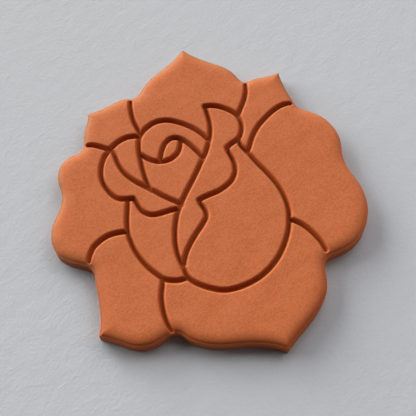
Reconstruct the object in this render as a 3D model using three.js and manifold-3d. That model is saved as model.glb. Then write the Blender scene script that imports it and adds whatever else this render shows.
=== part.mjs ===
// A flat rose cut from a rolled slab of terracotta clay, lying face up.
//
// The slab has a vertical cut edge, a narrow rim along the whole outline, a crease
// inside the rim, a cushioned border that rises from the crease to the flat face,
// and a network of pressed lines that draws the petals. It is one solid piece.
//
// Units are millimetres, +Z is up, the back lies on Z = 0, and the origin is the
// middle of the drawing's box. The petal tips point along +Y and -Y.

import * as THREE from 'three';
import { mergeVertices } from 'three/addons/utils/BufferGeometryUtils.js';
import Module from 'manifold-3d';

// Slab and border
const roseWidth = 59.85; // overall, along X
const roseHeight = 64.06; // overall, along Y
const slabThickness = 3.5; // back to flat face
const creaseHeight = 2.8; // back to the crease
const rimWidth = 0.33; // from the cut edge in to the crease
const rimHeight = 2.72; // back to the rim, beside its bevel
const edgeBreak = 0.08; // bevel where the rim meets the cut edge
const cushionRun = 2.4; // horizontal reach of the cushioned border
const cushionLift = 0.02; // the cushion's curve passes the flat face by this much
const cushionFacets = 4;

// Pressed lines: half widths and depths of the rounded section
const lineShoulder = 0.72;
const shoulderLift = 0.03; // the shoulder starts this far above the flat face
const lineLip = 0.55;
const lineWall = 0.44;
const lineFloor = 0.19;
const lipDepth = 0.09;
const wallDepth = 0.32;
const floorDepth = 1.1;
const endScale = 0.985; // round ends are this much slimmer than the line

// Facets
const edgeStep = 1.9; // longest facet of the outline
const lineStep = 2.1; // longest facet of a pressed line
const bendReach = 3.2; // a turn of one radian counts as this much extra length
const endSides = 12;
const mergeDistance = 1e-5; // points closer than this are one point
const clearance = 0.7; // how far cutting solids stand out of the slab

// The drawing of the rose. It is fitted to the overall width and height below, so
// its own place and size don't matter.
//
// The outline, clockwise from the top tip. Each stretch runs from one sharp tip
// to the next, and both tips are in its list.
const topTip = [-3.36, 31.96];
const rightTopTip = [15.88, 25.03];
const rightFootTip = [12.45, -32.1];
const leftFootTip = [-20.95, -27.68];
const leftTopTip = [-22.9, 18.08];

const outlineStretches = [
  [topTip, [-2, 30.87], [0, 29.63], [2, 28.58], [4, 27.65], [5, 27.08], [6, 26.35],
    [7, 25.2], [7.7, 24.15], [8.3, 23.55], [9, 23.29], [9.7, 23.53], [11, 23.95],
    [13, 24.26], [14.5, 24.62], rightTopTip],
  [rightTopTip, [16.03, 24.1], [16.3, 23], [16.95, 21], [17.8, 19], [18.2, 18],
    [18.78, 16.95], [19.6, 16.32], [21, 15.69], [23, 14.6], [24, 13.77], [25, 12.52],
    [25.95, 10.85], [26.47, 9], [26.56, 7.4], [26.52, 5.8], [26.8, 4], [27.53, 2],
    [28.6, 0], [29.45, -2], [29.9, -4], [29.97, -5.5], [29.83, -7], [29.3, -9],
    [28.35, -10.9], [27, -12.5], [25.7, -13.48], [24, -14.3], [22.3, -14.97],
    [21.25, -15.58], [20.72, -16.5], [20.6, -18], [20.66, -19.8], [20.37, -22],
    [19.36, -24.04], [17.9, -26.08], [16.3, -27.86], [14.3, -30], [13.2, -31.25],
    rightFootTip],
  [rightFootTip, [11.2, -31.66], [10.2, -31.35], [9.17, -31.1], [7.1, -30.82],
    [5.1, -30.74], [3.06, -30.77], [1, -30.82], [-1, -30.61], [-3.05, -30.14],
    [-4.07, -29.75], [-5.09, -29.17], [-6.05, -28.38], [-6.7, -28], [-7.4, -27.89],
    [-8.15, -28.02], [-9.17, -28.6], [-10.2, -29.27], [-11.2, -29.74],
    [-12.2, -30.03], [-13.25, -30.15], [-14.26, -30.1], [-15.3, -29.87],
    [-17.3, -29.07], [-19.4, -28.23], leftFootTip],
  [leftFootTip, [-20.82, -26.8], [-20.68, -25], [-20.76, -23], [-20.98, -21],
    [-21.3, -19], [-21.6, -17], [-21.8, -15.8], [-22.2, -14.88], [-22.95, -14.3],
    [-24.45, -13.82], [-26, -13.3], [-27.5, -12.53], [-28.55, -11.65],
    [-29.4, -10.1], [-29.76, -9], [-29.88, -7.6], [-29.73, -6], [-29.42, -5],
    [-28.57, -3], [-28.25, -2], [-27.98, -0.8], [-27.95, 0.5], [-28.27, 2],
    [-28.6, 3], [-28.76, 4.4], [-28.6, 6], [-28.2, 7.05], [-27.5, 7.93],
    [-26.5, 8.72], [-25, 9.43], [-24.2, 10], [-23.8, 10.85], [-23.7, 12],
    [-23.7, 13], [-23.58, 14], [-23.38, 15], [-23.12, 16], [-22.95, 17], leftTopTip],
  [leftTopTip, [-22, 18.42], [-20, 19.17], [-18, 20.1], [-17, 20.65], [-16, 21.02],
    [-15.1, 21.12], [-14.4, 21.02], [-13.8, 21.12], [-13.05, 21.5], [-12.5, 22.15],
    [-11.57, 23.68], [-10, 25.62], [-9, 26.45], [-7, 28.03], [-5, 29.97], topTip],
];

// Pressed lines, each with the points of its middle. A start that stops short in
// the clay, or turns a corner there, is round. Every line ends in another line.
const pressedLines = [
  // long seam from the heart of the rose down to the foot of the inner bud
  { roundStart: true, points: [[0.38, 17.9], [0.64, 17], [0.87, 16], [1.08, 15],
    [1.2, 14], [1.22, 13], [1.16, 12], [1.02, 11], [0.78, 10], [0.52, 9], [0.18, 8],
    [-0.2, 7.03], [-0.7, 6.07], [-1.18, 5.08], [-2.15, 3.09], [-3.18, 1.1],
    [-4.23, -0.89], [-5.2, -2.88], [-5.97, -4.92], [-6.44, -6.97], [-6.64, -9],
    [-6.64, -11], [-6.33, -13.02], [-6.04, -14.03], [-5.64, -15.04], [-5.27, -16.04],
    [-4.96, -17.03], [-4.5, -18]] },
  // crest of the heart, over the top and down the right side of the bud
  { roundStart: true, points: [[0.38, 17.9], [1.18, 18], [2, 17.94], [3.05, 17.73],
    [4.1, 17.32], [5.13, 16.77], [6.15, 16.06], [6.85, 15.22], [7.25, 14.2],
    [7.42, 13.1], [7.33, 12], [7.05, 11.03], [6.62, 10.24], [5.98, 9.7], [5.03, 9.07],
    [4.25, 8.35]] },
  // right side of the inner bud and its returning curl
  { roundStart: true, points: [[4.25, 8.35], [4.35, 7.78], [4.67, 6.95], [5.1, 5.98],
    [5.4, 5], [5.5, 4], [5.44, 3], [5.1, 2.06], [4.58, 1.15], [3.98, 0.53],
    [3.02, -0.23], [2.02, -0.82], [1, -1.25], [0, -1.63], [-1, -2.03], [-1.8, -2.43]] },
  { roundStart: true, points: [[-1.8, -2.43], [-1.55, -3.18], [-1, -4.1],
    [-0.63, -5.05], [-0.59, -5.82], [-0.77, -6.46], [-1.07, -6.94], [-1.69, -7.94],
    [-2.41, -8.93], [-3.08, -9.93], [-3.7, -10.95], [-4.24, -11.96], [-4.68, -12.97],
    [-4.98, -13.97], [-5.2, -15.18]] },
  // big front petal: right flank, round the bottom to the foot of the bud
  { roundStart: true, points: [[6.45, 10.1], [7.02, 8.65], [7.95, 7.4], [8.75, 6.29],
    [9.48, 5.19], [10.26, 4.1], [11.06, 3.1], [11.79, 2.11], [12.48, 1.12],
    [13.12, 0.09], [13.67, -0.93], [14.12, -1.96], [14.46, -3], [14.72, -4],
    [14.88, -5], [14.94, -6.2], [14.86, -7.4], [14.65, -9], [14.43, -9.98],
    [14.12, -10.97], [13.73, -11.97], [13.28, -12.99], [12.73, -14.01], [12.1, -15.04],
    [11.31, -16.05], [10.38, -17.05], [9.04, -18.2], [8.03, -18.86], [7.01, -19.4],
    [6.01, -19.83], [5.01, -20.18], [4, -20.45], [3, -20.63], [2, -20.69], [1, -20.6],
    [0, -20.33], [-1, -20], [-2.01, -19.6], [-3.02, -19.08], [-4, -18.4],
    [-4.72, -17.6]] },
  // seam between the back petals at the top left
  { roundStart: true, points: [[-14.38, 20.25], [-14.4, 18.98], [-14.31, 17.97],
    [-14.15, 16.96], [-13.92, 15.94], [-13.58, 14.94], [-13.14, 13.96], [-12.8, 13.17],
    [-12.42, 12.4]] },
  // left petal of the bud: over its top and down to the long seam
  { roundStart: false, points: [[0.97, 10.52], [0.37, 10.83], [-0.16, 11.44],
    [-0.95, 12.21], [-1.93, 13.01], [-2.93, 13.65], [-3.94, 14.19], [-4.96, 14.63],
    [-5.97, 15], [-6.98, 15.24], [-8.01, 15.28], [-9.03, 15.13], [-10.04, 14.75],
    [-11.09, 14.01], [-11.76, 13.4], [-12.34, 12.63], [-12.72, 11.84], [-12.92, 11.02],
    [-12.96, 10], [-12.94, 9], [-12.84, 8], [-12.72, 6.98], [-12.52, 5.97],
    [-12.33, 4.95], [-12.12, 3.95], [-11.87, 2.94], [-11.56, 1.93], [-11.2, 1.05],
    [-10.78, 0.28]] },
  // left shoulder and the edge that leaves to the left
  { roundStart: false, points: [[-12.6, 12.05], [-13.3, 12.14], [-14, 12.12],
    [-15.02, 12], [-16.04, 11.62], [-17.07, 11], [-17.87, 10.28], [-18.65, 9.47]] },
  { roundStart: true, points: [[-23, 10.93], [-21.97, 10.76], [-20.96, 10.45],
    [-19.95, 10.06], [-19.15, 9.7], [-18.42, 9.36]] },
  // small loop in the middle of the left petal
  { roundStart: false, points: [[-12.82, 8.28], [-11.95, 7.52], [-10.94, 6.84],
    [-9.96, 6.41], [-9, 6.24], [-8.02, 6.27], [-7.05, 6.52], [-6.1, 7.12],
    [-5.61, 7.64], [-5.23, 8.2], [-4.94, 9.06], [-4.78, 10.02], [-4.7, 10.75]] },
  { roundStart: false, points: [[-8.72, 6.25], [-8.74, 7.22], [-8.58, 8.02],
    [-8.28, 9.03], [-7.82, 10.01], [-7.39, 10.54], [-6.89, 10.94], [-6.3, 11.21],
    [-5.58, 11.23], [-4.84, 11], [-3.9, 10.41], [-2.9, 9.48], [-1.96, 8.42],
    [-1.24, 7.5], [-0.65, 6.5], [-0.62, 6]] },
  // narrow petal on the left: its left rim, round the bottom to the long seam
  { roundStart: true, points: [[-14.25, -1.28], [-15, -1.29], [-16.01, -1.29],
    [-17.02, -1.13], [-17.84, -0.66], [-18.49, -0.04], [-19.23, 0.97], [-19.79, 1.97],
    [-20.17, 2.98], [-20.36, 4], [-20.37, 5.01], [-20.27, 6.03], [-20, 7.05],
    [-19.6, 8.06], [-19.07, 8.84], [-18.5, 9.53]] },
  { roundStart: false, points: [[-14.25, -1.28], [-13.85, -1.83], [-13.53, -2.45],
    [-13.2, -3.17], [-12.75, -3.88], [-12.03, -4.46], [-11, -4.87], [-10.01, -4.9],
    [-9.03, -4.71], [-8.03, -4.43], [-7.02, -4.18], [-6.25, -4.05], [-5.7, -4.1]] },
  // its right rim
  { roundStart: false, points: [[-18.45, 9.58], [-17.97, 8.85], [-17.56, 7.94],
    [-17.26, 6.94], [-16.86, 5.93], [-16.32, 4.92], [-15.6, 3.94], [-14.65, 3],
    [-13.57, 2.14], [-12.81, 1.63], [-11.92, 1.08], [-10.96, 0.47], [-9.99, -0.15],
    [-9.03, -0.82], [-8.03, -1.44], [-7.01, -2.02], [-6, -2.58], [-5.15, -3.2]] },
  // outer left petal, down to the foot of the bud
  { roundStart: false, points: [[-15.33, -1.4], [-15.34, -2.2], [-15.38, -3],
    [-15.46, -4], [-15.54, -5.2], [-15.55, -6.4], [-15.5, -7.62], [-15.27, -8.87],
    [-14.88, -10.08], [-14.52, -11.1], [-14.06, -12.1], [-13.51, -13.09],
    [-12.86, -14.07], [-12.11, -15.03], [-11.23, -15.98], [-10.17, -16.92],
    [-9.07, -17.78], [-7.98, -18.15], [-6.99, -18.27], [-6, -18.22], [-5.25, -18],
    [-4.6, -17.75]] },
  { roundStart: true, points: [[-22.78, -13.35], [-22.69, -12.78], [-22.42, -11.96],
    [-21.97, -10.95], [-21.08, -9.98], [-20.07, -9.15], [-19.05, -8.61],
    [-18.03, -8.28], [-17.01, -8.11], [-16.02, -8.03], [-15.45, -8]] },
  // seams of the back petals on the right
  { roundStart: true, points: [[8.93, 22.7], [8.89, 22], [8.86, 21.01], [8.67, 20.04],
    [8.4, 19.05], [8.03, 18.06], [7.57, 17.06], [7.15, 16.06], [6.85, 15.1]] },
  { roundStart: true, points: [[17.57, 17.6], [16.96, 17.46], [15.97, 17.17],
    [14.98, 16.7], [13.99, 16.03], [13, 15.17], [11.83, 14.02], [10.95, 13.04],
    [10.24, 12.04], [9.67, 11.04], [9.21, 10.03], [8.85, 9.03], [8.54, 8.05],
    [8.12, 7.12]] },
  { roundStart: true, points: [[21.02, -14.02], [20.6, -12.98], [20.03, -11.93],
    [19.03, -10.57], [18.05, -9.5], [17.06, -8.67], [16.05, -8.03], [15.3, -7.7],
    [14.8, -7.5]] },
  // short seam under the bud
  { roundStart: true, points: [[-8.02, -27.5], [-8.42, -26.8], [-8.82, -25.87],
    [-9.12, -24.85], [-9.34, -23.83], [-9.52, -22.62], [-9.59, -21.4], [-9.49, -20.09],
    [-9.3, -18.98], [-9.22, -18]] },
];

const wasm = await Module();
wasm.setup();

// A closed three.js geometry as a solid that can be joined and cut
function solidOf(geometry) {
  const bare = geometry.clone();
  bare.deleteAttribute('normal');
  bare.deleteAttribute('uv');
  const merged = mergeVertices(bare, mergeDistance);
  return new wasm.Manifold(new wasm.Mesh({
    numProp: 3,
    vertProperties: new Float32Array(merged.attributes.position.array),
    triVerts: new Uint32Array(merged.index.array),
  }));
}

function geometryOf(solid) {
  const mesh = solid.getMesh();
  const geometry = new THREE.BufferGeometry();
  geometry.setAttribute('position', new THREE.BufferAttribute(mesh.vertProperties, 3));
  geometry.setIndex(new THREE.BufferAttribute(mesh.triVerts, 1));
  return geometry;
}

// A smooth curve whose facets draw closer together where it bends
class BendingCurve extends THREE.CatmullRomCurve3 {
  getLengths(divisions = this.arcLengthDivisions) {
    if (this.cacheArcLengths?.length !== divisions + 1) {
      const lengths = [0];
      for (let i = 1; i <= divisions; i += 1) {
        const [before, after] = [(i - 1) / divisions, i / divisions];
        const run = this.getPoint(before).distanceTo(this.getPoint(after));
        const turn = this.getTangent(before).angleTo(this.getTangent(after));
        lengths.push(lengths[i - 1] + run + bendReach * turn);
      }
      this.cacheArcLengths = lengths;
    }
    return this.cacheArcLengths;
  }
}

// Fits the drawing to the overall size, with the middle of its box at the origin
const drawnBox = new THREE.Box2().setFromPoints(
  outlineStretches.flat().map(([x, y]) => new THREE.Vector2(x, y)),
);
const drawnMiddle = drawnBox.getCenter(new THREE.Vector2());
const drawnSize = drawnBox.getSize(new THREE.Vector2());

function fitted([x, y]) {
  return [
    (x - drawnMiddle.x) * (roseWidth / drawnSize.x),
    (y - drawnMiddle.y) * (roseHeight / drawnSize.y),
  ];
}

function curveThrough(points, height) {
  const knots = points.map((point) => new THREE.Vector3(...fitted(point), height));
  return new BendingCurve(knots, false, 'centripetal');
}

// A section swept along a curve. On a level curve the section's x points down
// and its y points to the left of the direction of travel.
function sweep(curve, section, step) {
  const steps = Math.max(2, Math.round(curve.getLength() / step));
  return new THREE.ExtrudeGeometry(new THREE.Shape(section), {
    steps,
    bevelEnabled: false,
    extrudePath: curve,
  });
}

// The plain slab
const outlinePoints = [];
for (const stretch of outlineStretches) {
  const curve = curveThrough(stretch, 0);
  const steps = Math.round(curve.getLength() / edgeStep);
  outlinePoints.push(...curve.getSpacedPoints(steps).slice(0, -1));
}
const outline = outlinePoints.map(({ x, y }) => new THREE.Vector2(x, y));
const slab = solidOf(new THREE.ExtrudeGeometry(new THREE.Shape(outline), {
  depth: slabThickness,
  bevelEnabled: false,
}));

// Section of the solid that shapes the border: x is the depth below the flat
// face and y is minus the distance in from the cut edge, because the outline
// runs clockwise and the clay lies on its right.
function borderSection() {
  const creaseDepth = slabThickness - creaseHeight;
  const rimDepth = slabThickness - rimHeight;
  const rise = creaseDepth + cushionLift;
  const section = [
    new THREE.Vector2(-clearance, clearance),
    new THREE.Vector2(rimDepth + edgeBreak + clearance, clearance),
    new THREE.Vector2(rimDepth, -edgeBreak),
  ];
  for (let i = 0; i <= cushionFacets; i += 1) {
    const angle = (i / cushionFacets) * (Math.PI / 2);
    const inward = rimWidth + cushionRun * (1 - Math.cos(angle));
    section.push(new THREE.Vector2(creaseDepth - rise * Math.sin(angle), -inward));
  }
  section.push(new THREE.Vector2(-clearance, -(rimWidth + cushionRun)));
  return section;
}

let rose = slab;
for (const stretch of outlineStretches) {
  const curve = curveThrough(stretch, slabThickness);
  rose = rose.subtract(solidOf(sweep(curve, borderSection(), edgeStep)));
}

// Half section of a pressed line from the shoulder to the floor, as pairs of
// half width and depth
const halfLine = [
  [lineShoulder, -clearance],
  [lineShoulder, -shoulderLift],
  [lineLip, lipDepth],
  [lineWall, wallDepth],
  [lineFloor, floorDepth],
];
const lineSection = [
  ...halfLine.map(([half, depth]) => new THREE.Vector2(depth, half)),
  ...halfLine.toReversed().map(([half, depth]) => new THREE.Vector2(depth, -half)),
];

// The round end of a pressed line, turned about the end point
const endProfile = [
  new THREE.Vector2(0, -floorDepth),
  ...halfLine.toReversed().map(([half, depth]) => (
    new THREE.Vector2(half * endScale, -depth))),
  new THREE.Vector2(0, clearance),
];

function roundEnd(point) {
  const geometry = new THREE.LatheGeometry(endProfile, endSides);
  geometry.rotateX(Math.PI / 2);
  geometry.translate(...fitted(point), slabThickness);
  return geometry;
}

for (const { roundStart, points } of pressedLines) {
  const curve = curveThrough(points, slabThickness);
  rose = rose.subtract(solidOf(sweep(curve, lineSection, lineStep)));
  if (roundStart) {
    rose = rose.subtract(solidOf(roundEnd(points[0])));
  }
}

const clay = new THREE.MeshStandardMaterial({
  color: 0xc26d46,
  roughness: 0.85,
  metalness: 0,
});

const clayRose = new THREE.Mesh(geometryOf(rose), clay);
clayRose.name = 'clay_rose';

const model = new THREE.Group();
model.add(clayRose);

export default model;
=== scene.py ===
import math

import bpy
import numpy as np
from mathutils import Matrix, Vector, kdtree, noise
from mathutils.geometry import delaunay_2d_cdt


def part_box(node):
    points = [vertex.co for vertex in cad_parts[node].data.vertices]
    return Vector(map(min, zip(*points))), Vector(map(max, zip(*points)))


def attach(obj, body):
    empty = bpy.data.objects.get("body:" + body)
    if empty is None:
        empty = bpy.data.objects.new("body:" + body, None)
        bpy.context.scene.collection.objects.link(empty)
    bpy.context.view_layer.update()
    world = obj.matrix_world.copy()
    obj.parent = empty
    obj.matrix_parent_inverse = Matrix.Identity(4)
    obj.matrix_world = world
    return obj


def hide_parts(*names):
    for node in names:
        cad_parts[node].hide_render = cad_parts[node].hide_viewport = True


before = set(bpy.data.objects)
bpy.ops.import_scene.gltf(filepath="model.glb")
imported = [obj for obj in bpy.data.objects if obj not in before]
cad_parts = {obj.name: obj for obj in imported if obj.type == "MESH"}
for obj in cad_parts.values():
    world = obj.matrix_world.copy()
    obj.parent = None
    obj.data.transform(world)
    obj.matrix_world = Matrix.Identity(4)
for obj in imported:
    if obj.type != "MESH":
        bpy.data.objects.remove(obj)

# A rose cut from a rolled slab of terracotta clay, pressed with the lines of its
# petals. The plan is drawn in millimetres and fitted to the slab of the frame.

mm = 0.001
tiny = 1e-6
backLeft = np.array([-0.7, 0.7])  # the way to the back on the left, on the plan
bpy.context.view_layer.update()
slabLow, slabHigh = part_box("clay_rose")

# The outline, clockwise from the top tip, in stretches from one sharp tip to the next
topTip = (-3.36, 31.96)
rightTopTip = (15.88, 25.03)
rightFootTip = (12.45, -32.1)
leftFootTip = (-20.95, -27.68)
leftTopTip = (-22.9, 18.08)

outlineStretches = [
    [topTip, (-2, 30.87), (0, 29.63), (2, 28.58), (4, 27.65), (5, 27.08), (6, 26.35),
     (7, 25.2), (7.7, 24.15), (8.3, 23.55), (9, 23.29), (9.7, 23.53), (11, 23.95),
     (13, 24.26), (14.5, 24.62), rightTopTip],
    [rightTopTip, (16.03, 24.1), (16.3, 23), (16.95, 21), (17.8, 19), (18.2, 18),
     (18.78, 16.95), (19.6, 16.32), (21, 15.69), (23, 14.6), (24, 13.77), (25, 12.52),
     (25.95, 10.85), (26.47, 9), (26.56, 7.4), (26.52, 5.8), (26.8, 4), (27.53, 2),
     (28.6, 0), (29.45, -2), (29.9, -4), (29.97, -5.5), (29.83, -7), (29.3, -9),
     (28.35, -10.9), (27, -12.5), (25.7, -13.48), (24, -14.3), (22.3, -14.97),
     (21.25, -15.58), (20.72, -16.5), (20.6, -18), (20.66, -19.8), (20.37, -22),
     (19.36, -24.04), (17.9, -26.08), (16.3, -27.86), (14.3, -30), (13.2, -31.25),
     rightFootTip],
    [rightFootTip, (11.2, -31.66), (10.2, -31.35), (9.17, -31.1), (7.1, -30.82),
     (5.1, -30.74), (3.06, -30.77), (1, -30.82), (-1, -30.61), (-3.05, -30.14),
     (-4.07, -29.75), (-5.09, -29.17), (-6.05, -28.38), (-6.7, -28), (-7.4, -27.89),
     (-8.15, -28.02), (-9.17, -28.6), (-10.2, -29.27), (-11.2, -29.74),
     (-12.2, -30.03), (-13.25, -30.15), (-14.26, -30.1), (-15.3, -29.87),
     (-17.3, -29.07), (-19.4, -28.23), leftFootTip],
    [leftFootTip, (-20.82, -26.8), (-20.68, -25), (-20.76, -23), (-20.98, -21),
     (-21.3, -19), (-21.6, -17), (-21.8, -15.8), (-22.2, -14.88), (-22.95, -14.3),
     (-24.45, -13.82), (-26, -13.3), (-27.5, -12.53), (-28.55, -11.65),
     (-29.4, -10.1), (-29.76, -9), (-29.88, -7.6), (-29.73, -6), (-29.42, -5),
     (-28.57, -3), (-28.25, -2), (-27.98, -0.8), (-27.95, 0.5), (-28.27, 2),
     (-28.6, 3), (-28.76, 4.4), (-28.6, 6), (-28.2, 7.05), (-27.5, 7.93),
     (-26.5, 8.72), (-25, 9.43), (-24.2, 10), (-23.8, 10.85), (-23.7, 12),
     (-23.7, 13), (-23.58, 14), (-23.38, 15), (-23.12, 16), (-22.95, 17), leftTopTip],
    [leftTopTip, (-22, 18.42), (-20, 19.17), (-18, 20.1), (-17, 20.65), (-16, 21.02),
     (-15.1, 21.12), (-14.4, 21.02), (-13.8, 21.12), (-13.05, 21.5), (-12.5, 22.15),
     (-11.57, 23.68), (-10, 25.62), (-9, 26.45), (-7, 28.03), (-5, 29.97), topTip],
]

# The middles of the pressed lines
pressedLines = {
    "long seam": [
        (0.38, 17.9), (0.64, 17), (0.87, 16), (1.08, 15), (1.2, 14), (1.22, 13),
        (1.16, 12), (1.02, 11), (0.78, 10), (0.52, 9), (0.18, 8), (-0.2, 7.03),
        (-0.7, 6.07), (-1.18, 5.08), (-2.15, 3.09), (-3.18, 1.1), (-4.23, -0.89),
        (-5.2, -2.88), (-5.97, -4.92), (-6.44, -6.97), (-6.64, -9), (-6.64, -11),
        (-6.33, -13.02), (-6.04, -14.03), (-5.64, -15.04), (-5.27, -16.04),
        (-4.96, -17.03), (-4.5, -18)],
    "crest of the heart": [
        (0.38, 17.9), (1.18, 18), (2, 17.94), (3.05, 17.73), (4.1, 17.32), (5.13, 16.77),
        (6.15, 16.06), (6.85, 15.22), (7.25, 14.2), (7.42, 13.1), (7.33, 12), (7.05, 11.03),
        (6.62, 10.24), (5.98, 9.7), (5.03, 9.07), (4.25, 8.35)],
    "right side of the bud": [
        (4.25, 8.35), (4.35, 7.78), (4.67, 6.95), (5.1, 5.98), (5.4, 5), (5.5, 4),
        (5.44, 3), (5.1, 2.06), (4.58, 1.15), (3.98, 0.53), (3.02, -0.23), (2.02, -0.82),
        (1, -1.25), (0, -1.63), (-1, -2.03), (-1.8, -2.43)],
    "returning curl": [
        (-1.8, -2.43), (-1.55, -3.18), (-1, -4.1), (-0.63, -5.05), (-0.59, -5.82),
        (-0.77, -6.46), (-1.07, -6.94), (-1.69, -7.94), (-2.41, -8.93), (-3.08, -9.93),
        (-3.7, -10.95), (-4.24, -11.96), (-4.68, -12.97), (-4.98, -13.97), (-5.2, -15.18)],
    "front petal": [
        (6.45, 10.1), (7.02, 8.65), (7.95, 7.4), (8.75, 6.29), (9.48, 5.19), (10.26, 4.1),
        (11.06, 3.1), (11.79, 2.11), (12.48, 1.12), (13.12, 0.09), (13.67, -0.93),
        (14.12, -1.96), (14.46, -3), (14.72, -4), (14.88, -5), (14.94, -6.2), (14.86, -7.4),
        (14.65, -9), (14.43, -9.98), (14.12, -10.97), (13.73, -11.97), (13.28, -12.99),
        (12.73, -14.01), (12.1, -15.04), (11.31, -16.05), (10.38, -17.05), (9.04, -18.2),
        (8.03, -18.86), (7.01, -19.4), (6.01, -19.83), (5.01, -20.18), (4, -20.45),
        (3, -20.63), (2, -20.69), (1, -20.6), (0, -20.33), (-1, -20), (-2.01, -19.6),
        (-3.02, -19.08), (-4, -18.4), (-4.72, -17.6)],
    "top left seam": [
        (-14.38, 20.25), (-14.4, 18.98), (-14.31, 17.97), (-14.15, 16.96), (-13.92, 15.94),
        (-13.58, 14.94), (-13.14, 13.96), (-12.8, 13.17), (-12.42, 12.4)],
    "left petal of the bud": [
        (0.97, 10.52), (0.37, 10.83), (-0.16, 11.44), (-0.95, 12.21), (-1.93, 13.01),
        (-2.93, 13.65), (-3.94, 14.19), (-4.96, 14.63), (-5.97, 15), (-6.98, 15.24),
        (-8.01, 15.28), (-9.03, 15.13), (-10.04, 14.75), (-11.09, 14.01), (-11.76, 13.4),
        (-12.34, 12.63), (-12.72, 11.84), (-12.92, 11.02), (-12.96, 10), (-12.94, 9),
        (-12.84, 8), (-12.72, 6.98), (-12.52, 5.97), (-12.33, 4.95), (-12.12, 3.95),
        (-11.87, 2.94), (-11.56, 1.93), (-11.2, 1.05), (-10.78, 0.28)],
    "left shoulder": [
        (-12.6, 12.05), (-13.3, 12.14), (-14, 12.12), (-15.02, 12), (-16.04, 11.62),
        (-17.07, 11), (-17.87, 10.28), (-18.65, 9.47)],
    "left seam": [
        (-23, 10.93), (-21.97, 10.76), (-20.96, 10.45), (-19.95, 10.06), (-19.15, 9.7),
        (-18.42, 9.36)],
    "loop, lower side": [
        (-12.82, 8.28), (-11.95, 7.52), (-10.94, 6.84), (-9.96, 6.41), (-9, 6.24),
        (-8.02, 6.27), (-7.05, 6.52), (-6.1, 7.12), (-5.61, 7.64), (-5.23, 8.2),
        (-4.94, 9.06), (-4.78, 10.02), (-4.7, 10.75)],
    "loop, upper side": [
        (-8.72, 6.25), (-8.74, 7.22), (-8.58, 8.02), (-8.28, 9.03), (-7.82, 10.01),
        (-7.39, 10.54), (-6.89, 10.94), (-6.3, 11.21), (-5.58, 11.23), (-4.84, 11),
        (-3.9, 10.41), (-2.9, 9.48), (-1.96, 8.42), (-1.24, 7.5), (-0.65, 6.5), (-0.62, 6)],
    "narrow petal, left rim": [
        (-14.25, -1.28), (-15, -1.29), (-16.01, -1.29), (-17.02, -1.13), (-17.84, -0.66),
        (-18.49, -0.04), (-19.23, 0.97), (-19.79, 1.97), (-20.17, 2.98), (-20.36, 4),
        (-20.37, 5.01), (-20.27, 6.03), (-20, 7.05), (-19.6, 8.06), (-19.07, 8.84),
        (-18.5, 9.53)],
    "narrow petal, foot": [
        (-14.25, -1.28), (-13.85, -1.83), (-13.53, -2.45), (-13.2, -3.17), (-12.75, -3.88),
        (-12.03, -4.46), (-11, -4.87), (-10.01, -4.9), (-9.03, -4.71), (-8.03, -4.43),
        (-7.02, -4.18), (-6.25, -4.05), (-5.7, -4.1)],
    "narrow petal, right rim": [
        (-18.45, 9.58), (-17.97, 8.85), (-17.56, 7.94), (-17.26, 6.94), (-16.86, 5.93),
        (-16.32, 4.92), (-15.6, 3.94), (-14.65, 3), (-13.57, 2.14), (-12.81, 1.63),
        (-11.92, 1.08), (-10.96, 0.47), (-9.99, -0.15), (-9.03, -0.82), (-8.03, -1.44),
        (-7.01, -2.02), (-6, -2.58), (-5.15, -3.2)],
    "outer left petal": [
        (-15.33, -1.4), (-15.34, -2.2), (-15.38, -3), (-15.46, -4), (-15.54, -5.2),
        (-15.55, -6.4), (-15.5, -7.62), (-15.27, -8.87), (-14.88, -10.08), (-14.52, -11.1),
        (-14.06, -12.1), (-13.51, -13.09), (-12.86, -14.07), (-12.11, -15.03),
        (-11.23, -15.98), (-10.17, -16.92), (-9.07, -17.78), (-7.98, -18.15),
        (-6.99, -18.27), (-6, -18.22), (-5.25, -18), (-4.6, -17.75)],
    "lower left seam": [
        (-22.78, -13.35), (-22.69, -12.78), (-22.42, -11.96), (-21.97, -10.95),
        (-21.08, -9.98), (-20.07, -9.15), (-19.05, -8.61), (-18.03, -8.28),
        (-17.01, -8.11), (-16.02, -8.03), (-15.45, -8)],
    "top right seam": [
        (8.93, 22.7), (8.89, 22), (8.86, 21.01), (8.67, 20.04), (8.4, 19.05), (8.03, 18.06),
        (7.57, 17.06), (7.15, 16.06), (6.85, 15.1)],
    "right seam": [
        (17.57, 17.6), (16.96, 17.46), (15.97, 17.17), (14.98, 16.7), (13.99, 16.03),
        (13, 15.17), (11.83, 14.02), (10.95, 13.04), (10.24, 12.04), (9.67, 11.04),
        (9.21, 10.03), (8.85, 9.03), (8.54, 8.05), (8.12, 7.12)],
    "lower right seam": [
        (21.02, -14.02), (20.6, -12.98), (20.03, -11.93), (19.03, -10.57), (18.05, -9.5),
        (17.06, -8.67), (16.05, -8.03), (15.3, -7.7), (14.8, -7.5)],
    "seam under the bud": [
        (-8.02, -27.5), (-8.42, -26.8), (-8.82, -25.87), (-9.12, -24.85), (-9.34, -23.83),
        (-9.52, -22.62), (-9.59, -21.4), (-9.49, -20.09), (-9.3, -18.98), (-9.22, -18)],
}

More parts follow.
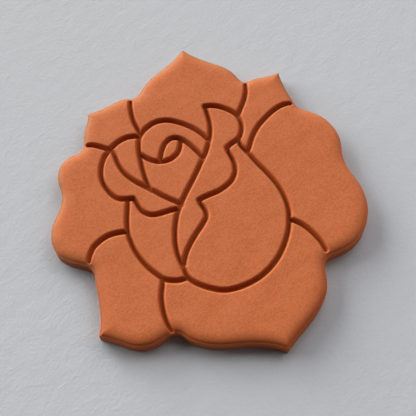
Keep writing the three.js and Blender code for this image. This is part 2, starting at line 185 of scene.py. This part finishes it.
# Millimetres, apart from slopes, shares, counts and angles
rose = {
    "creaseDrop": 0.7,  # from the flat face down to the crease inside the cut edge
    "rimWidth": 0.33,  # from the cut edge in to the crease
    "rimDrop": 0.15,  # how far the rim falls on its way out
    "rimPower": 0.6,  # under 1, so the rim falls most steeply at the cut edge
    "rimHighlightSpan": 0.8,  # how far in the painted highlight reaches on the rim of the back and left
    "nearShadeSpan": 1.1,  # and the painted shade on the near side
    "cushionRun": 2.4,  # reach of the cushioned border
    "lineDepth": 1.1,
    "lineFloor": 0.17,  # half width of a pressed line's floor
    "lineSlope": 3.0,  # steepness of its walls
    "lipRound": 0.62,  # size of the rounding where a wall meets the face
    "lipLean": 0.45,  # how much rounder it is on the lower right side of a line
    "lipDepth": 0.12,  # the painted shade in a line starts this far down
    "floorRound": 0.25,
    "sag": 0.06,  # how far the clay sags towards a line on its lower right side
    "sagSpan": 0.6,
    "unevenness": 0.035,  # how deep the rolled face sinks in places
    "unevenSpan": 7.0,
    "backSpan": 30,  # across the plan, from none of the back left's painted highlight and shade to all of it
    "nearSpan": 25,  # from the middle to where the painted shade of the near side is full
    # how finely it is meshed
    "curveSamples": 24,  # between two given points of a curve
    "fitStep": 0.1,  # spacing of the outline that the plan's size is taken from
    "reachStep": 0.08,  # and of the curves that distances are taken from
    "rowStep": 0.24,  # spacing of the mesh's points along a line
    "flatStep": 0.36,  # and on the open face
    "backStep": 1.6,
    "floorRows": (0, 0.6, 1.15),  # rows beside a line's middle, in half widths of its floor
    "lipRows": (-0.5, -0.2, 0.1, 0.4, 0.7, 1, 1.4),  # and on its lip, in widths of the lip
    "rimRows": (0.12, 0.32, 0.64),  # rows on the rim, in widths of the rim
    "cushionRows": (0, 9, 18, 28, 38, 48, 58, 68, 78, 90),  # degrees round the cushion's curve
    "cutRows": (0.985, 0.8, 0.6, 0.4, 0.2, 0.015, 0),  # down the cut edge, in heights of its top
    "endPoints": 24,  # in a row round the end of a line
    "lineError": 0.015,  # points further than this off their row are left out
    "edgeError": 0.01,
    "lineCell": 0.13,  # only one point is kept in a square of this size
    "edgeCell": 0.11,
    "edgeGap": 0.1,  # between the outline and the rows beside the lines
    "rowGap": 0.05,  # between the rows beside the lines and those beside the outline
    "fillGap": 0.55,  # between the rows and the open face's points, in flatSteps
    "sharpAngle": 50,  # degrees between faces, from which their edge looks sharp
}


def smoothCurve(points, step):
    # Centripetal Catmull-Rom through the points, in even steps
    knots = np.array(points, float)
    before = 2 * knots[0] - knots[1]
    after = 2 * knots[-1] - knots[-2]
    knots = np.vstack([before, knots, after])
    gaps = np.sqrt(np.linalg.norm(np.diff(knots, axis=0), axis=1))
    t = np.linspace(0, 1, rose["curveSamples"], endpoint=False)[:, None]
    dense = []
    for i in range(1, len(knots) - 2):
        p0, p1, p2, p3 = knots[i - 1:i + 3]
        g0, g1, g2 = gaps[i - 1:i + 2]
        out = ((p1 - p0) / g0 - (p2 - p0) / (g0 + g1) + (p2 - p1) / g1) * g1
        into = ((p2 - p1) / g1 - (p3 - p1) / (g1 + g2) + (p3 - p2) / g2) * g1
        dense.append(p1 + out * t + (3 * (p2 - p1) - 2 * out - into) * t ** 2
                     + (2 * (p1 - p2) + out + into) * t ** 3)
    dense = np.vstack(dense + [knots[-2:-1]])
    along = np.concatenate([[0], np.cumsum(np.linalg.norm(np.diff(dense, axis=0), axis=1))])
    count = max(2, round(along[-1] / step)) + 1
    even = np.linspace(0, along[-1], count)
    return np.column_stack([np.interp(even, along, dense[:, k]) for k in (0, 1)])


def normalsOf(curve):
    ahead = np.gradient(curve, axis=0)
    ahead /= np.linalg.norm(ahead, axis=1)[:, None]
    return np.column_stack([-ahead[:, 1], ahead[:, 0]])


class Reach:
    # The distance from any point of the plan to a set of curves
    def __init__(self, curves):
        self.here = np.vstack(curves)
        self.before = np.vstack([np.vstack([c[:1], c[:-1]]) for c in curves])
        self.after = np.vstack([np.vstack([c[1:], c[-1:]]) for c in curves])
        self.tree = kdtree.KDTree(len(self.here))
        for i, (x, y) in enumerate(self.here):
            self.tree.insert((x, y, 0), i)
        self.tree.balance()

    def gaps(self, points):
        # The way to each point from the nearest place on the curves
        nearest = np.array([self.tree.find((x, y, 0))[1] for x, y in points], int)
        here = self.here[nearest]
        best = points - here
        for other in (self.before[nearest], self.after[nearest]):
            way = other - here
            length = np.maximum((way ** 2).sum(1), tiny ** 2)
            part = np.clip(((points - here) * way).sum(1) / length, 0, 1)
            gap = points - here - way * part[:, None]
            closer = (gap ** 2).sum(1) < (best ** 2).sum(1)
            best = np.where(closer[:, None], gap, best)
        return best

    def of(self, points):
        return np.linalg.norm(self.gaps(points), axis=1)


def smoothMin(a, b, size):
    # The lower of the two with the corner rounded off, and how near the corner is
    blend = np.maximum(size - np.abs(a - b), 0) / size
    return np.minimum(a, b) - blend ** 2 * size / 4, blend


def thinned(points, cell):
    # Keeps one point in each small cell
    kept = np.unique(np.round(points / cell).astype(int), axis=0, return_index=True)[1]
    return points[np.sort(kept)]


def fittedPlan():
    # The drawn plan's middle, and what its size is multiplied by to fit the slab
    drawn = np.vstack([smoothCurve(stretch, rose["fitStep"]) for stretch in outlineStretches])
    low, high = drawn.min(0), drawn.max(0)
    size = np.array([(slabHigh - slabLow)[k] / mm for k in (0, 1)])
    return (low + high) / 2, size / (high - low)


planMiddle, planScale = fittedPlan()


def onPlan(points):
    # Moves the plan's middle to the frame's origin and gives it the slab's size
    return [tuple((np.array(p) - planMiddle) * planScale) for p in points]


def curvesOf(stretches, step):
    return [smoothCurve(onPlan(points), step) for points in stretches]


thickness = (slabHigh.z - slabLow.z) / mm
edges = curvesOf(outlineStretches, rose["rowStep"])
lines = curvesOf(pressedLines.values(), rose["rowStep"])
ring = np.vstack([edge[:-1] for edge in edges])
edgeReach = Reach(curvesOf(outlineStretches, rose["reachStep"]))
lineReach = Reach(curvesOf(pressedLines.values(), rose["reachStep"]))
print("plan: outline of", len(ring), "points,", len(lines), "pressed lines")


def inside(points):
    # Which of the points lie within the outline
    x, y = points.T
    hits = np.zeros(len(points), bool)
    for (x0, y0), (x1, y1) in zip(ring, np.roll(ring, -1, axis=0)):
        if y0 != y1:
            hits ^= ((y0 > y) != (y1 > y)) & (x < (x1 - x0) * (y - y0) / (y1 - y0) + x0)
    return hits


def honeycomb(step):
    # Points in staggered rows within the outline
    low, high = ring.min(0), ring.max(0)
    rows = []
    for k, y in enumerate(np.arange(low[1], high[1], step * math.sqrt(3) / 2)):
        x = np.arange(low[0] + (k % 2) * step / 2, high[0], step)
        rows.append(np.column_stack([x, np.full(len(x), y)]))
    points = np.vstack(rows)
    return points[inside(points)]


def wallReach():
    # Half width of a pressed line where its wall comes out on the face
    return rose["lineFloor"] + rose["lineDepth"] / rose["lineSlope"]


def backSide(points):
    # How far a point lies towards the back on the left, from 0 to 1
    return np.clip(0.5 + points @ backLeft / rose["backSpan"], 0, 1)


def nearSide(points):
    return np.clip(-points[:, 1] / rose["nearSpan"], 0, 1)


def faceRelief(points):
    # Each point's height, and how much painted shade and painted highlight the clay has there
    fromEdge = edgeReach.of(points)
    gap = lineReach.gaps(points)
    fromLine = np.linalg.norm(gap, axis=1)
    side = (gap @ -backLeft) / np.maximum(fromLine, tiny)
    lip = rose["lipRound"] * (1 + rose["lipLean"] * side)
    lowerRight = np.clip(0.5 + side, 0, 1)
    share = np.clip((fromEdge - rose["rimWidth"]) / rose["cushionRun"], 0, 1)
    border = thickness - rose["creaseDrop"] * (1 - np.sqrt(1 - (1 - share) ** 2))
    acrossRim = np.clip(fromEdge / rose["rimWidth"], 0, 1)
    border -= rose["rimDrop"] * (1 - acrossRim ** rose["rimPower"])
    wall = thickness + (fromLine - wallReach()) * rose["lineSlope"]
    lineBottom = thickness - rose["lineDepth"]
    height, nearLip = smoothMin(border, wall, lip)
    height = -smoothMin(-height, np.full(len(height), -lineBottom), rose["floorRound"])[0]
    swell = np.array([noise.noise((x / rose["unevenSpan"], y / rose["unevenSpan"], 0))
                      for x, y in points])
    height -= rose["unevenness"] * (0.5 + 0.5 * swell) * share
    height -= rose["sag"] * lowerRight * np.exp(-fromLine / rose["sagSpan"])
    # Painted shade: the pressed share grows down a line's walls and floor, and darkens them
    sunk = np.minimum(border, thickness) - height - rose["lipDepth"]
    pressed = np.clip(sunk / (rose["lineDepth"] - rose["lipDepth"]), 0, 1)
    # the lip share is painted highlight on the lips on each line's lower right, which face the
    # lamps
    shares = {"pressed": pressed, "lip": nearLip * lowerRight,
              # painted highlight on the rim of the back and left, where the lamps fall
              "rim": np.exp(-(fromEdge / rose["rimHighlightSpan"]) ** 2) * backSide(points),
              # painted shade on the rim of the near side, away from the lamps
              "nearShade": np.exp(-(fromEdge / rose["nearShadeSpan"]) ** 2) * nearSide(points)}
    return height, shares


def lineRows():
    # Rows of points beside every pressed line and round its ends, and how far out they go
    lip = rose["lipRound"] * (1 + rose["lipLean"]) / rose["lineSlope"]
    half = wallReach()
    reaches = [rose["lineFloor"] * share for share in rose["floorRows"]]
    reaches += [(rose["lineFloor"] + half) / 2]
    reaches += [half + lip * share for share in rose["lipRows"]]
    found = []
    turn = np.linspace(0, 2 * math.pi, rose["endPoints"], endpoint=False)
    for reach in reaches:
        rows = []
        for line in lines:
            across = normalsOf(line) * reach
            rows += [line + across, line - across]
            around = np.column_stack([np.cos(turn), np.sin(turn)]) * reach
            rows += [line[0] + around, line[-1] + around]
        rows = np.vstack(rows)
        found.append(rows[np.abs(lineReach.of(rows) - reach) < rose["lineError"]])
    return thinned(np.vstack(found), rose["lineCell"]), reaches[-1]


def edgeRows():
    # Rows of points on the rim and on the rise of the cushion, and how far in they go
    angles = np.radians(rose["cushionRows"])
    foot = rose["rimWidth"]
    reaches = [foot * share for share in rose["rimRows"]]
    reaches += list(foot + rose["cushionRun"] * (1 - np.cos(angles)))
    found = []
    for reach in reaches:
        rows = np.vstack([edge - normalsOf(edge) * reach for edge in edges])
        found.append(rows[np.abs(edgeReach.of(rows) - reach) < rose["edgeError"]])
    for before, after in zip(edges, edges[1:] + edges[:1]):
        # the ridge that runs in from a sharp tip, midway between the edges beside it
        tip = after[0]
        back = before[-3] - tip
        ahead = after[2] - tip
        back /= np.linalg.norm(back)
        ahead /= np.linalg.norm(ahead)
        inward = (back + ahead) / np.linalg.norm(back + ahead)
        spread = math.sqrt((1 - float(back @ ahead)) / 2)
        found.append(np.array([tip + inward * reach / spread for reach in reaches]))
    return thinned(np.vstack(found), rose["edgeCell"]), reaches[-1]


def facePoints():
    # The rows beside the lines, those beside the outline, and the open face between them
    nearLines, lineEdge = lineRows()
    nearEdge, edgeEdge = edgeRows()
    nearEdge = nearEdge[inside(nearEdge)]
    nearEdge = nearEdge[lineReach.of(nearEdge) > lineEdge + rose["rowGap"]]
    nearLines = nearLines[inside(nearLines)]
    nearLines = nearLines[edgeReach.of(nearLines) > rose["edgeGap"]]
    fill = honeycomb(rose["flatStep"])
    room = rose["flatStep"] * rose["fillGap"]
    fill = fill[(edgeReach.of(fill) > edgeEdge + room) & (lineReach.of(fill) > lineEdge + room)]
    return np.vstack([nearLines, nearEdge, fill])


def triangulated(points):
    # Triangles over the plan, between the outline and the points inside it
    insideOnly = 1
    count = len(ring)
    given = [Vector(p) for p in np.vstack([ring, points])]
    border = [(i, (i + 1) % count) for i in range(count)]
    flat, _, faces, origins, _, _ = delaunay_2d_cdt(given, border, [list(range(count))],
                                                    insideOnly, tiny)
    return flat, faces, origins


def makeRose():
    flat, faces, origins = triangulated(facePoints())
    plan = np.array([(p.x, p.y) for p in flat])
    print("face:", len(plan), "points,", len(faces), "triangles")
    height, shares = faceRelief(plan)
    vertices = [(x, y, z) for (x, y), z in zip(plan, height)]
    polygons = [tuple(face) for face in faces]

    # The cut edge goes down from the outline to the back
    count = len(ring)
    place = {source: i for i, group in enumerate(origins) for source in group}
    top = [place[i] for i in range(count)]
    above = top
    for level in rose["cutRows"]:
        start = len(vertices)
        vertices += [(plan[i][0], plan[i][1], height[i] * level) for i in top]
        below = list(range(start, start + count))
        for i in range(count):
            j = (i + 1) % count
            polygons.append((above[i], above[j], below[j], below[i]))
        above = below
    cutEnd = len(vertices)

    # The flat back
    grid = honeycomb(rose["backStep"])
    grid = grid[edgeReach.of(grid) > rose["backStep"] / 2]
    flat, faces, origins = triangulated(grid)
    place = {}
    for i, group in enumerate(origins):
        onRing = [source for source in group if source < count]
        if onRing:
            place[i] = above[onRing[0]]
        else:
            place[i] = len(vertices)
            vertices.append((flat[i].x, flat[i].y, 0))
    polygons += [tuple(place[i] for i in reversed(face)) for face in faces]

    mesh = bpy.data.meshes.new("rose_slab")
    mesh.from_pydata([tuple(c * mm for c in v) for v in vertices], [], polygons)
    mesh.validate()
    mesh.update()
    mesh.polygons.foreach_set("use_smooth", [True] * len(mesh.polygons))
    mesh.set_sharp_from_angle(angle=math.radians(rose["sharpAngle"]))

    # The shares of the face come first, and only the cut edge has some of the last one, painted
    # shade on its back-left side, where the lamps fall
    shares["cut"] = np.zeros(cutEnd)
    shares["cut"][len(plan):] = backSide(np.array(vertices[len(plan):cutEnd])[:, :2])
    for name, share in shares.items():
        values = np.zeros(len(vertices))
        values[:len(share)] = share
        mesh.attributes.new(name, "FLOAT", "POINT").data.foreach_set("value", values)
    piece = bpy.data.objects.new("rose_slab", mesh)
    bpy.context.scene.collection.objects.link(piece)
    return piece


roseSlab = makeRose()
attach(roseSlab, "root")
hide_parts("clay_rose")
print("rose:", len(roseSlab.data.polygons), "faces")


class Wire:
    # A value on its way through a material's nodes
    def __init__(self, nodes, socket):
        self.nodes = nodes
        self.socket = socket

    def math(self, operation, first, second):
        return self.nodes.add("ShaderNodeMath", {"operation": operation}, {0: first, 1: second})

    def __add__(self, other):
        return self.math("ADD", self, other)

    def __radd__(self, other):
        return self.math("ADD", other, self)

    def __rsub__(self, other):
        return self.math("SUBTRACT", other, self)

    def __mul__(self, other):
        return self.math("MULTIPLY", self, other)

    def __pow__(self, other):
        return self.math("POWER", self, other)


class Nodes:
    # The nodes of one material
    def __init__(self, name):
        self.material = bpy.data.materials.new(name)
        self.material.use_nodes = True
        self.tree = self.material.node_tree
        self.shader = self.tree.nodes["Principled BSDF"]

    def plug(self, socket, value):
        if isinstance(value, Wire):
            self.tree.links.new(value.socket, socket)
        else:
            socket.default_value = value

    def add(self, kind, settings, sockets, output=0):
        node = self.tree.nodes.new(kind)
        for name, value in settings.items():
            setattr(node, name, value)
        for name, value in sockets.items():
            self.plug(node.inputs[name], value)
        return Wire(self, node.outputs[output])

    def finish(self, **sockets):
        for name, value in sockets.items():
            self.plug(self.shader.inputs[name.replace("_", " ")], value)
        return self.material


# Colours are linear, lengths millimetres
clay = {
    "paleColour": (0.532, 0.1375, 0.0465, 1),
    "deepColour": (0.412, 0.0945, 0.0215, 1),
    "palerGrit": (0.493, 0.1505, 0.0573, 1),
    "deeperGrit": (0.451, 0.0825, 0.0113, 1),
    # painted highlight, yellower and less red, on the rim where the lamps fall
    "rimHighlightColour": (0.350, 0.122, 0.0400, 1),
    # painted shade on the near side's rim
    "nearShadeColour": (0.360, 0.072, 0.0155, 1),
    # painted shade on the back-left side of the cut edge, where the lamps fall
    "cutShadeColour": (0.290, 0.080, 0.0260, 1),
    # painted highlight on the lips that face the lamps
    "lipHighlightColour": (0.500, 0.150, 0.0480, 1),
    "wallShadeColour": (0.470, 0.047, 0.001, 1),  # painted shade on a pressed line's walls
    "wallShadePower": 0.28,  # the lower, the higher up the walls that painted shade starts
    # painted shade deep in a pressed line
    "lineShadeColour": (0.313, 0.064, 0.0050, 1),
    "mottleSize": 2.6,
    "grainAngle": 31,  # degrees from +X, the way that the grain runs
    "grainStretch": 2.2,
    "grainSize": 0.36,
    "gritSize": 0.165,
    "toneRange": (0.37, 0.63),  # of the noise, from the deep colour to the pale one
    "gritRange": (0.33, 0.67),
    "bumpHeight": 0.026,
    "grainBump": 0.6,  # share of the grain in the bump
    "gritBump": 0.4,
    "specular": 0.28,
    "roughness": 0.75,
    "roughnessSpread": 0.8,
}


def noiseAt(nodes, place, size, detail=2.0, roughness=0.5, seed=0.0):
    shifted = nodes.add("ShaderNodeVectorMath", {"operation": "ADD"},
                        {0: place, 1: (seed, seed, seed)})
    return nodes.add("ShaderNodeTexNoise", {"noise_dimensions": "3D"},
                     {"Vector": shifted, "Scale": 1 / (size * mm), "Detail": detail,
                      "Roughness": roughness})


def mixColour(nodes, factor, first, second):
    return nodes.add("ShaderNodeMix", {"data_type": "RGBA"},
                     {0: factor, 6: first, 7: second}, output=2)


def shareOf(nodes, name):
    return nodes.add("ShaderNodeAttribute", {"attribute_name": name}, {}, output="Fac")


def slanted(nodes, angle, stretch):
    # Places on the object, drawn out so that a grain laid on them runs one way
    place = nodes.add("ShaderNodeTexCoord", {}, {}, output="Object")
    return nodes.add("ShaderNodeMapping", {"vector_type": "TEXTURE"},
                     {"Vector": place, "Rotation": (0, 0, math.radians(angle)),
                      "Scale": (stretch, 1, 1)})


def rangeOf(nodes, value, low, high):
    # From 0 at the low value to 1 at the high one
    return nodes.add("ShaderNodeMapRange", {}, {0: value, 1: low, 2: high})


def clayMaterial():
    nodes = Nodes("terracotta clay")
    place = slanted(nodes, clay["grainAngle"], clay["grainStretch"])
    mottle = noiseAt(nodes, place, clay["mottleSize"], detail=3)
    grain = noiseAt(nodes, place, clay["grainSize"], detail=2, seed=0.31)
    grit = noiseAt(nodes, place, clay["gritSize"], detail=1, seed=0.57)
    tone = rangeOf(nodes, mottle * 0.5 + grain * 0.5, *clay["toneRange"])
    specks = rangeOf(nodes, grit, *clay["gritRange"])
    colour = mixColour(nodes, 0.5, mixColour(nodes, tone, clay["deepColour"], clay["paleColour"]),
                       mixColour(nodes, specks, clay["deeperGrit"], clay["palerGrit"]))
    # painted shade on the back-left side of the cut edge
    colour = mixColour(nodes, shareOf(nodes, "cut"), colour, clay["cutShadeColour"])
    # painted highlight on the back-left rim
    colour = mixColour(nodes, shareOf(nodes, "rim"), colour, clay["rimHighlightColour"])
    # painted shade on the near side's rim
    colour = mixColour(nodes, shareOf(nodes, "nearShade"), colour, clay["nearShadeColour"])
    # painted highlight on the lips on each line's lower right
    colour = mixColour(nodes, shareOf(nodes, "lip"), colour, clay["lipHighlightColour"])
    # painted shade down the walls and floor of the pressed lines
    pressed = shareOf(nodes, "pressed")
    colour = mixColour(nodes, pressed ** clay["wallShadePower"], colour, clay["wallShadeColour"])
    colour = mixColour(nodes, pressed, colour, clay["lineShadeColour"])
    bump = nodes.add("ShaderNodeBump", {},
                     {"Strength": 1.0, "Distance": clay["bumpHeight"] * mm,
                      "Height": grain * clay["grainBump"] + grit * clay["gritBump"]})
    roughness = clay["roughness"] + (0.5 - grit) * clay["roughnessSpread"]
    nodes.shader.inputs["Specular IOR Level"].default_value = clay["specular"]
    return nodes.finish(Base_Color=colour, Roughness=roughness, Normal=bump)


roseSlab.data.materials.append(clayMaterial())

# The pale floor, in millimetres apart from its size
floor = {
    "size": 6.0,  # metres
    "drop": 0.01,  # below the rose's back, so that the two never share a plane
    # painted light: the floor is paler and a little warmer towards the back on the left, where the
    # lamps stand
    "litFloorColour": (0.463, 0.456, 0.482, 1),
    "dimFloorColour": (0.436, 0.438, 0.475, 1),
    "floorLightWay": (-0.5, 0.87, 0),  # the way to the painted light, towards the back on the left
    "fade": 60,  # from the middle to where a colour is full
    "grainAngle": 40,
    "grainStretch": 1.3,
    "grainSize": 0.6,
    "lumpSize": 2.6,
    "bumpHeight": 0.12,
    "roughness": 0.9,
}


def floorMaterial():
    nodes = Nodes("pale floor")
    place = slanted(nodes, floor["grainAngle"], floor["grainStretch"])
    grain = noiseAt(nodes, place, floor["grainSize"], detail=3, roughness=0.65)
    lumps = noiseAt(nodes, place, floor["lumpSize"], detail=1, seed=0.43)
    bump = nodes.add("ShaderNodeBump", {},
                     {"Strength": 1.0, "Distance": floor["bumpHeight"] * mm,
                      "Height": grain * 0.5 + lumps * 0.5})
    # painted light, paler towards the back on the left
    fromMiddle = nodes.add("ShaderNodeTexCoord", {}, {}, output="Object")
    towards = nodes.add("ShaderNodeVectorMath", {"operation": "DOT_PRODUCT"},
                        {0: fromMiddle, 1: floor["floorLightWay"]}, output="Value")
    floorLight = rangeOf(nodes, towards, -floor["fade"] * mm, floor["fade"] * mm)
    colour = mixColour(nodes, floorLight, floor["dimFloorColour"], floor["litFloorColour"])
    return nodes.finish(Base_Color=colour, Roughness=floor["roughness"], Normal=bump)


def makeFloor():
    half = floor["size"] / 2
    mesh = bpy.data.meshes.new("floor")
    corners = [(-half, -half), (half, -half), (half, half), (-half, half)]
    mesh.from_pydata([(x, y, -floor["drop"] * mm) for x, y in corners], [], [(0, 1, 2, 3)])
    mesh.materials.append(floorMaterial())
    piece = bpy.data.objects.new("floor", mesh)
    bpy.context.scene.collection.objects.link(piece)


makeFloor()

# Soft suns: azimuth is measured from +X towards +Y, and all angles are in degrees
lamps = {
    "low back": {"azimuth": 120, "elevation": 12, "spread": 30, "strength": 3,
                 "colour": (0.95, 1, 0.97)},
    "low left": {"azimuth": 150, "elevation": 18, "spread": 45, "strength": 3.9,
                 "colour": (0.95, 1, 0.97)},
    "top": {"azimuth": 80, "elevation": 45, "spread": 60, "strength": 1.1,
            "colour": (0.95, 1, 1)},
    "high right": {"azimuth": 50, "elevation": 35, "spread": 50, "strength": 1,
                   "colour": (1, 1, 1)},
    "right": {"azimuth": 10, "elevation": 30, "spread": 50, "strength": 0.6,
              "colour": (1, 0.9, 0.8)},
    "front": {"azimuth": 300, "elevation": 35, "spread": 60, "strength": 0.2,
              "colour": (1, 0.9, 0.8)},
}
lampDistance = 0.3  # metres, which changes nothing in a sun's light
backdropColour = (0.50, 0.51, 0.53, 1)  # of the pale wall behind the floor


def makeLights():
    for name, lamp in lamps.items():
        azimuth = math.radians(lamp["azimuth"])
        elevation = math.radians(lamp["elevation"])
        way = Vector((math.cos(azimuth) * math.cos(elevation),
                      math.sin(azimuth) * math.cos(elevation), math.sin(elevation)))
        data = bpy.data.lights.new(name, "SUN")
        data.angle = math.radians(lamp["spread"])
        data.energy = lamp["strength"]
        data.color = lamp["colour"]
        sun = bpy.data.objects.new(name, data)
        sun.location = way * lampDistance
        sun.rotation_euler = way.to_track_quat("Z", "Y").to_euler()
        bpy.context.scene.collection.objects.link(sun)
    world = bpy.data.worlds.new("sky")
    world.use_nodes = True
    sky = world.node_tree.nodes["Background"]
    sky.inputs["Color"].default_value = backdropColour
    seen = world.node_tree.nodes.new("ShaderNodeLightPath")  # the wall is seen, but gives no light
    world.node_tree.links.new(seen.outputs["Is Camera Ray"], sky.inputs["Strength"])
    bpy.context.scene.world = world
    bpy.context.scene.view_settings.view_transform = "Standard"


makeLights()

# The camera looks down at the rose from its foot; angles are in degrees
camera = {
    "lens": 75,  # millimetres
    "elevation": 66,
    "roll": -3.6,
    "distance": 167.18,  # millimetres, to the point looked at
    "lookAt": (-0.14, -2.748),  # on the plan, at the height of the back
}


def makeCamera():
    elevation = math.radians(camera["elevation"])
    roll = math.radians(camera["roll"])
    back = Vector((0, -math.cos(elevation), math.sin(elevation)))
    side = Vector((1, 0, 0))
    up = back.cross(side)
    right = side * math.cos(roll) + up * math.sin(roll)
    above = up * math.cos(roll) - side * math.sin(roll)
    target = Vector((*onPlan([camera["lookAt"]])[0], 0))
    spot = (target + back * camera["distance"] * float(planScale.mean())) * mm
    data = bpy.data.cameras.new("camera")
    data.lens = camera["lens"]
    data.clip_start = mm
    eye = bpy.data.objects.new("camera", data)
    eye.matrix_world = Matrix([(*axis, place) for *axis, place in
                               zip(right, above, back, spot)] + [(0, 0, 0, 1)])
    bpy.context.scene.collection.objects.link(eye)
    bpy.context.scene.camera = eye


makeCamera()
